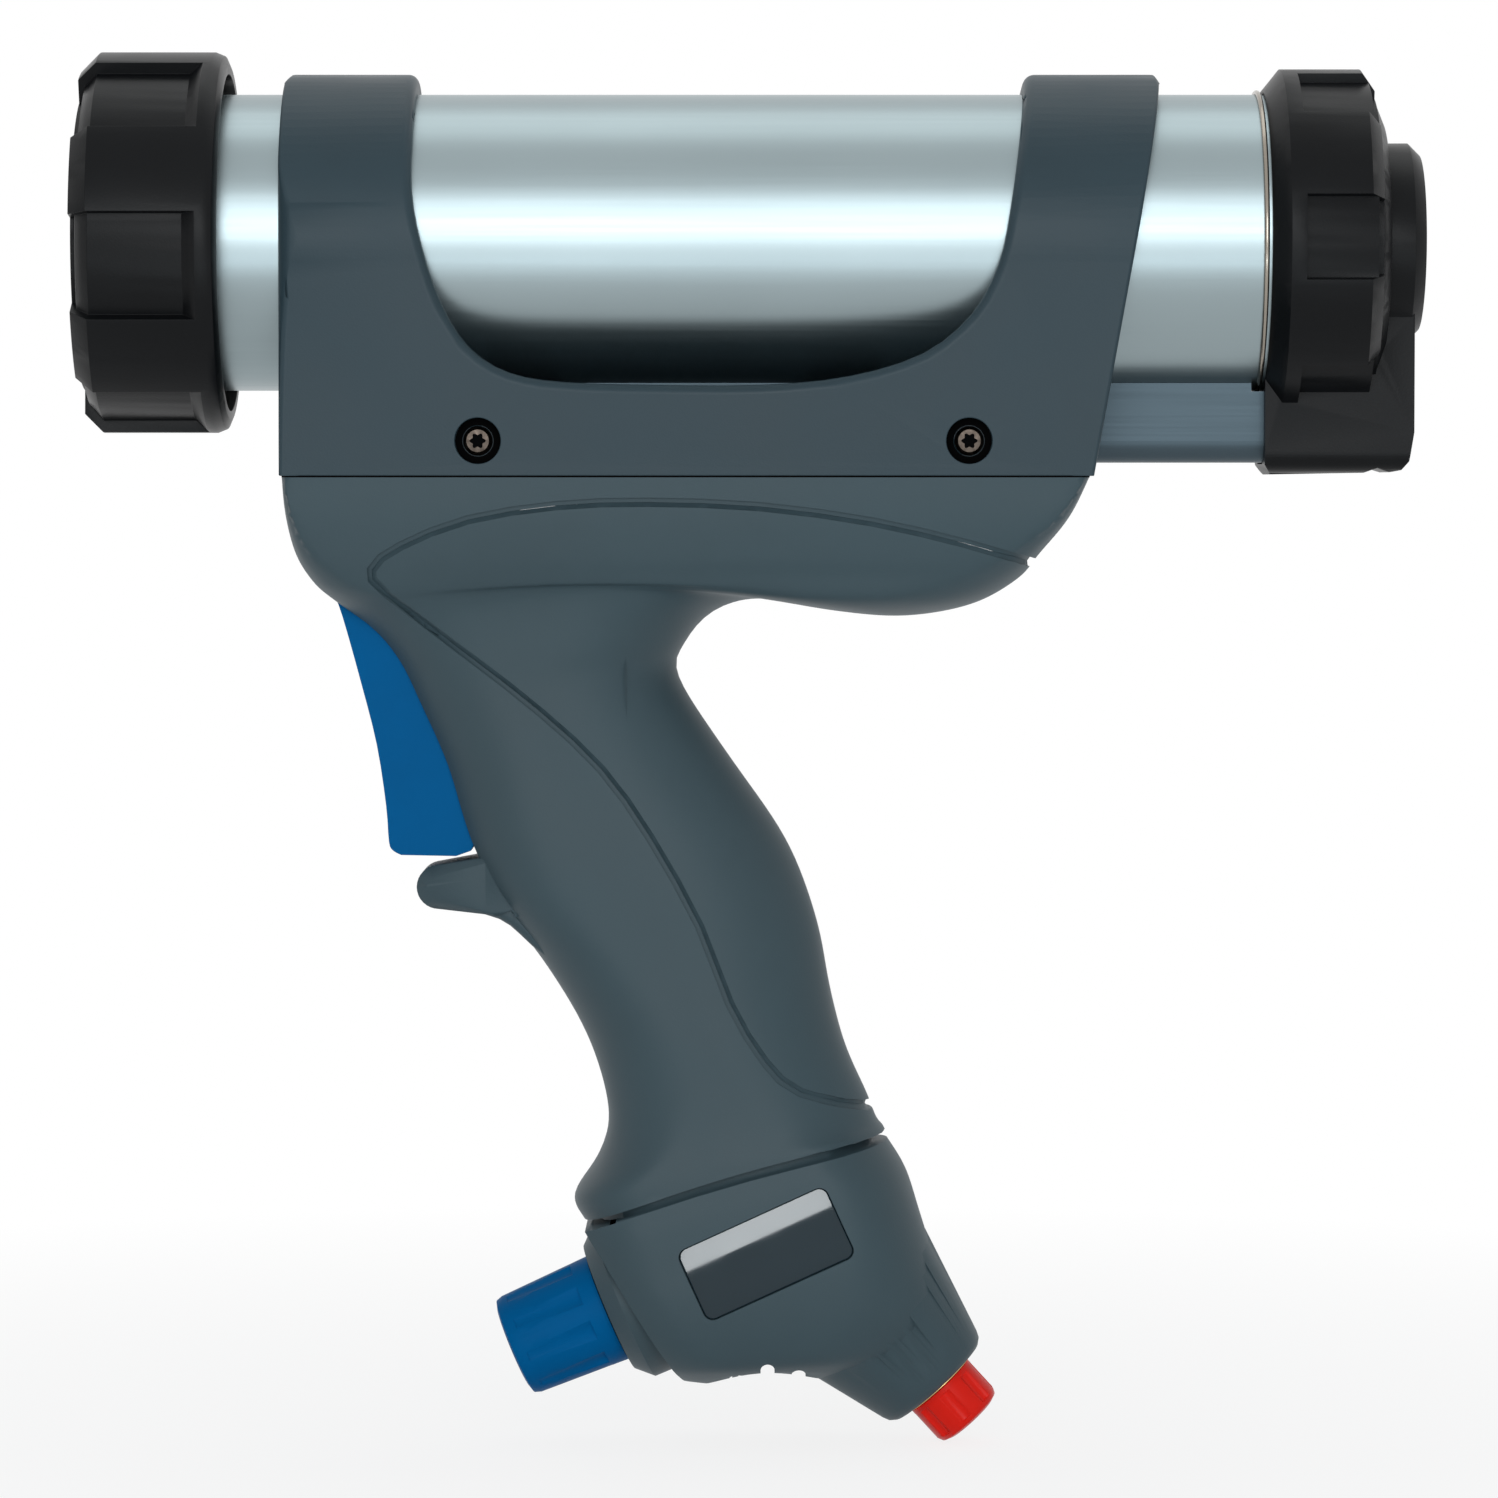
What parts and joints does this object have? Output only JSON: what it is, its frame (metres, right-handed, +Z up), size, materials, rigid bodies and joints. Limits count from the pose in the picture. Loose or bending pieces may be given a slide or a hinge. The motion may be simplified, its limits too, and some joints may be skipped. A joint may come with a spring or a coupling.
{
  "type": "pneumatic caulking tool",
  "caption": "Pistol-grip air-powered caulking gun: closed aluminium barrel with screw cap, cradle, trigger grip, pressure regulator knob and air inlet.",
  "frame": {"origin": "centre of the nozzle opening, in the front face of the front cap", "axes": "+X runs back along the barrel, +Y across the tool, +Z up"},
  "size_m": [0.2483, 0.0706, 0.2596],
  "materials": {
    "grey_plastic": "moulded, fine texture",
    "black_plastic": "moulded, soft sheen",
    "blue_plastic": "moulded, satin",
    "red_plastic": "moulded",
    "badge_black": "polished, bare",
    "anodised_barrel": "satin anodised",
    "anodised_channel": "blue-grey anodised",
    "bright_metal": "turned",
    "steel": "nickel plated",
    "spring_steel": "plain wire",
    "brass": "turned",
    "rubber": "nitrile",
    "sinter": "sintered, porous"
  },
  "bodies": {
    "tool": {"barrel_cradle": "grey_plastic", "handle_frame": "grey_plastic", "palm_grip": "grey_plastic", "base_housing": "grey_plastic", "knob_collar": "grey_plastic", "rear_cap": "black_plastic", "badge_plate": "badge_black", "barrel_tube": "anodised_barrel", "air_channel": "anodised_channel", "barrel_front_collar": "bright_metal", "barrel_retaining_ring": "bright_metal", "valve_body": "bright_metal", "rise_tube": "bright_metal", "supply_tube": "bright_metal", "cradle_screws": "steel", "trigger_pin": "steel", "valve_spring": "spring_steel", "regulator_spring": "spring_steel", "poppet_spring": "spring_steel", "valve_end_plug": "brass", "inlet_fitting": "brass", "rear_cap_seal": "rubber", "cartridge_seal": "rubber", "channel_seals": "rubber", "supply_tube_seals": "rubber", "exhaust_silencer": "sinter", "inlet_filter": "sinter"},
    "cap_carrier": {"front_cap_washer": "rubber"},
    "front_cap": {"front_cap": "black_plastic"},
    "trigger": {"trigger": "blue_plastic"},
    "valve_stem": {"valve_stem": "steel", "valve_stem_seals": "rubber"},
    "knob": {"regulator_knob": "blue_plastic", "adjusting_screw": "steel"},
    "spring_seat": {"spring_seat": "bright_metal"},
    "regulator_core": {"regulator_piston": "brass", "piston_seal": "rubber", "regulator_poppet": "brass"},
    "inlet_plug": {"inlet_plug": "red_plastic"}
  },
  "joints": [
    {"name": "cap_advance", "type": "slide", "parent": "tool", "child": "cap_carrier", "axis": [-1, 0, 0], "range_m": [0, 0.015]},
    {"name": "cap_unscrew", "type": "hinge", "parent": "cap_carrier", "child": "front_cap", "pos_m": [0, 0, 0], "axis": [-1, 0, 0], "range_deg": [0, 1080]},
    {"name": "trigger_pull", "type": "hinge", "parent": "tool", "child": "trigger", "pos_m": [0.0485, 0, -0.0585], "axis": [0, -1, 0], "range_deg": [0, 8], "stiffness_Nm_per_rad": 0.6, "springref_deg": -1.72},
    {"name": "valve_stroke", "type": "slide", "parent": "tool", "child": "valve_stem", "axis": [1, 0, 0], "range_m": [0, 0.00377], "deforming": ["valve_spring"]},
    {"name": "knob_turn", "type": "hinge", "parent": "tool", "child": "knob", "pos_m": [0.0972, 0, -0.1993], "axis": [0.9205, 0, 0.3907], "range_deg": [0, 1080]},
    {"name": "seat_advance", "type": "slide", "parent": "tool", "child": "spring_seat", "axis": [0.9205, 0, 0.3907], "range_m": [0, 0.003], "deforming": ["regulator_spring"]},
    {"name": "regulator_lift", "type": "slide", "parent": "tool", "child": "regulator_core", "axis": [0.9205, 0, 0.3907], "range_m": [0, 0.0008], "stiffness_N_per_m": 500, "deforming": ["poppet_spring"]},
    {"name": "plug_pull", "type": "slide", "parent": "tool", "child": "inlet_plug", "axis": [0.6769, 0, -0.7361], "range_m": [0, 0.012]}
  ],
  "couplings": [
    {"joint": "cap_unscrew", "follows": "cap_advance", "rad_per_m": 1256.6},
    {"joint": "valve_stroke", "follows": "trigger_pull", "m_per_rad": 0.0269},
    {"joint": "knob_turn", "follows": "seat_advance", "rad_per_m": 6283.2}
  ]
}
